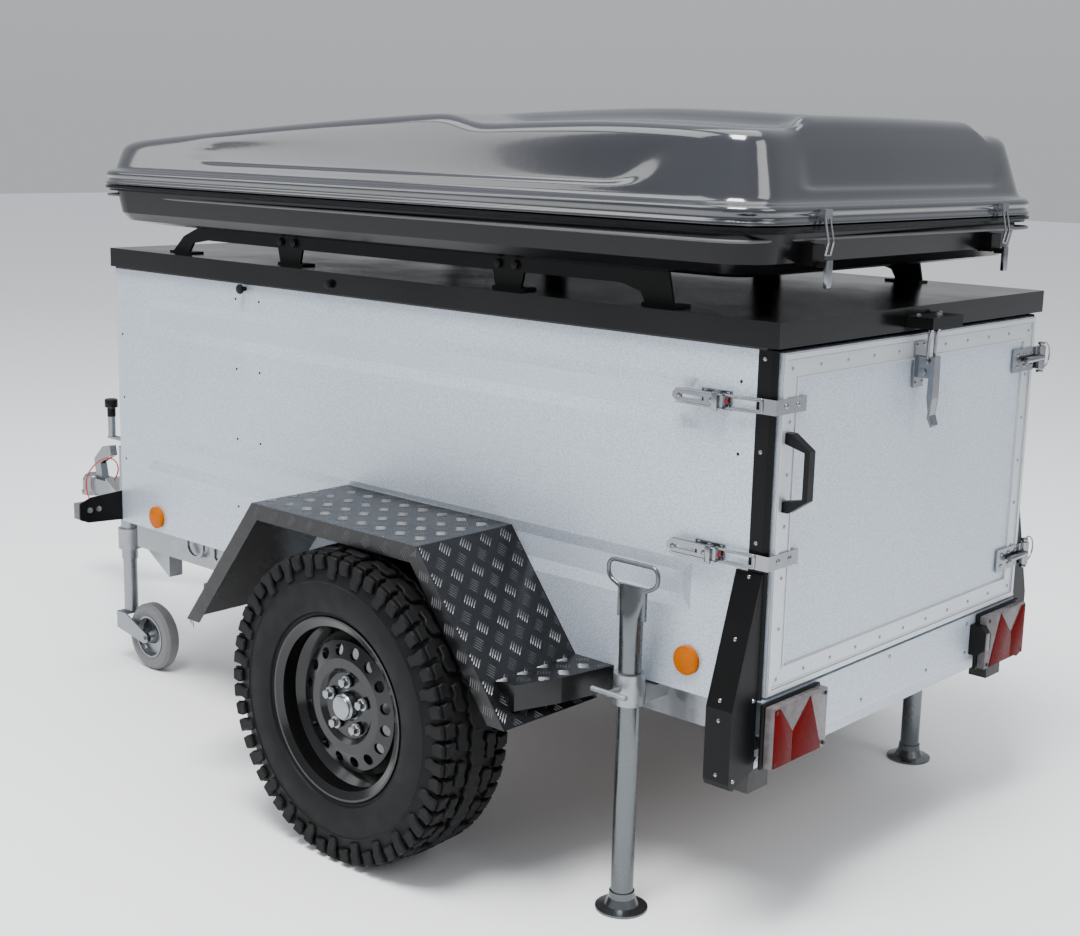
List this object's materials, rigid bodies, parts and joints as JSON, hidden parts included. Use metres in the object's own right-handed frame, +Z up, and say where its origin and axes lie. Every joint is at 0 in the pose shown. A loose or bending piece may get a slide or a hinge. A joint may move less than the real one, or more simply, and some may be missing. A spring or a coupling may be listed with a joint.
{
  "type": "box trailer with roof tent",
  "caption": "Off-road box trailer with a hinged lid that carries a closed hard-shell roof tent, a side-hinged rear gate, checker-plate fenders, steady legs and a jockey wheel.",
  "frame": {"origin": "centre of the footprint, on the ground", "axes": "+X forward to the coupling, +Y to the trailer's left side, +Z up"},
  "size_m": [3.291, 1.782, 1.6632],
  "materials": {
    "sheet_aluminium": "hammered, satin",
    "frame_aluminium": "anodised",
    "black_steel": "satin black powder coat",
    "gloss_rim": "gloss black",
    "galvanised": "galvanised",
    "zinc": "zinc plated",
    "stainless": "polished",
    "checker_black": "black five-bar checker plate",
    "black_plastic": "fine grain",
    "gloss_shell": "gloss black",
    "tyre_rubber": "matt",
    "grey_rubber": "matt",
    "seal_rubber": "matt",
    "buffer_rubber": "matt",
    "tent_canvas": "woven",
    "mattress_foam": "woven cover",
    "plywood": "film faced",
    "lamp_red": "clear moulded",
    "lamp_white": "clear moulded",
    "lamp_amber": "prismatic",
    "cable_red": "plastic cover"
  },
  "bodies": {
    "trailer": {"chassis_frame": "galvanised", "drawbar": "galvanised", "coupling_head": "zinc", "coupling_lever": "zinc", "axle": "galvanised", "side_walls": "sheet_aluminium", "front_wall": "sheet_aluminium", "floor_panel": "plywood", "corner_posts": "black_steel", "lid_seal": "seal_rubber", "rear_sheet": "sheet_aluminium", "fenders": "checker_black", "fender_steps": "checker_black", "corner_guards": "black_steel", "rear_buffers": "buffer_rubber", "tail_lamps": "lamp_red", "plate_lamp": "black_plastic", "marker_brackets": "black_steel", "marker_lamps": "lamp_white", "side_reflectors": "lamp_amber", "lashing_loops": "galvanised", "lid_hinge_leaves": "zinc", "gate_hinge_pins": "stainless", "side_latches": "stainless", "leg_clamps": "galvanised", "jockey_clamp": "galvanised", "jockey_tube": "zinc", "safety_cable": "cable_red"},
    "lid": {"lid_pan": "black_steel", "lid_rails": "black_steel", "lid_fittings": "black_steel", "tent_base": "gloss_shell", "tent_base_fittings": "black_plastic", "tent_fabric": "tent_canvas", "tent_mattress": "mattress_foam"},
    "tent_top": {"tent_cap": "gloss_shell", "tent_cap_fittings": "zinc"},
    "gate": {"gate_panel": "sheet_aluminium", "gate_frame": "frame_aluminium", "gate_handle": "black_plastic", "gate_hinge_leaves": "stainless", "gate_hooks": "stainless", "lid_latch": "stainless"},
    "wheel_left": {"tyre_left": "tyre_rubber", "rim_left": "gloss_rim", "hub_left": "zinc"},
    "wheel_right": {"tyre_right": "tyre_rubber", "rim_right": "gloss_rim", "hub_right": "zinc"},
    "steady_leg_left": {"leg_left": "galvanised"},
    "steady_leg_right": {"leg_right": "galvanised"},
    "jockey_inner_tube": {"jockey_post": "zinc"},
    "jockey_swivel": {"jockey_fork": "zinc"},
    "jockey_wheel": {"jockey_tyre": "grey_rubber", "jockey_rim": "zinc"}
  },
  "joints": [
    {"name": "lid_hinge", "type": "hinge", "parent": "trailer", "child": "lid", "pos_m": [0.621, 0, 1.208], "axis": [0, 1, 0], "range_deg": [0, 60]},
    {"name": "tent_hinge", "type": "hinge", "parent": "lid", "child": "tent_top", "pos_m": [0.641, 0, 1.436], "axis": [0, 1, 0], "range_deg": [0, 30]},
    {"name": "gate_hinge", "type": "hinge", "parent": "trailer", "child": "gate", "pos_m": [-1.587, -0.556, 0.85], "axis": [0, 0, 1], "range_deg": [0, 160]},
    {"name": "wheel_left_spin", "type": "hinge", "parent": "trailer", "child": "wheel_left", "pos_m": [-0.698, 0.79, 0.354], "axis": [0, 1, 0], "continuous": true},
    {"name": "wheel_right_spin", "type": "hinge", "parent": "trailer", "child": "wheel_right", "pos_m": [-0.698, -0.79, 0.354], "axis": [0, 1, 0], "continuous": true},
    {"name": "leg_left_slide", "type": "slide", "parent": "trailer", "child": "steady_leg_left", "axis": [0, 0, 1], "range_m": [0, 0.35]},
    {"name": "leg_right_slide", "type": "slide", "parent": "trailer", "child": "steady_leg_right", "axis": [0, 0, 1], "range_m": [0, 0.35]},
    {"name": "jockey_slide", "type": "slide", "parent": "trailer", "child": "jockey_inner_tube", "axis": [0, 0, 1], "range_m": [0, 0.14]},
    {"name": "jockey_swivel_turn", "type": "hinge", "parent": "jockey_inner_tube", "child": "jockey_swivel", "pos_m": [0.801, 0.394, 0.165], "axis": [0, 0, 1], "continuous": true},
    {"name": "jockey_wheel_spin", "type": "hinge", "parent": "jockey_swivel", "child": "jockey_wheel", "pos_m": [0.684, 0.394, 0.1], "axis": [0, 1, 0], "continuous": true}
  ]
}
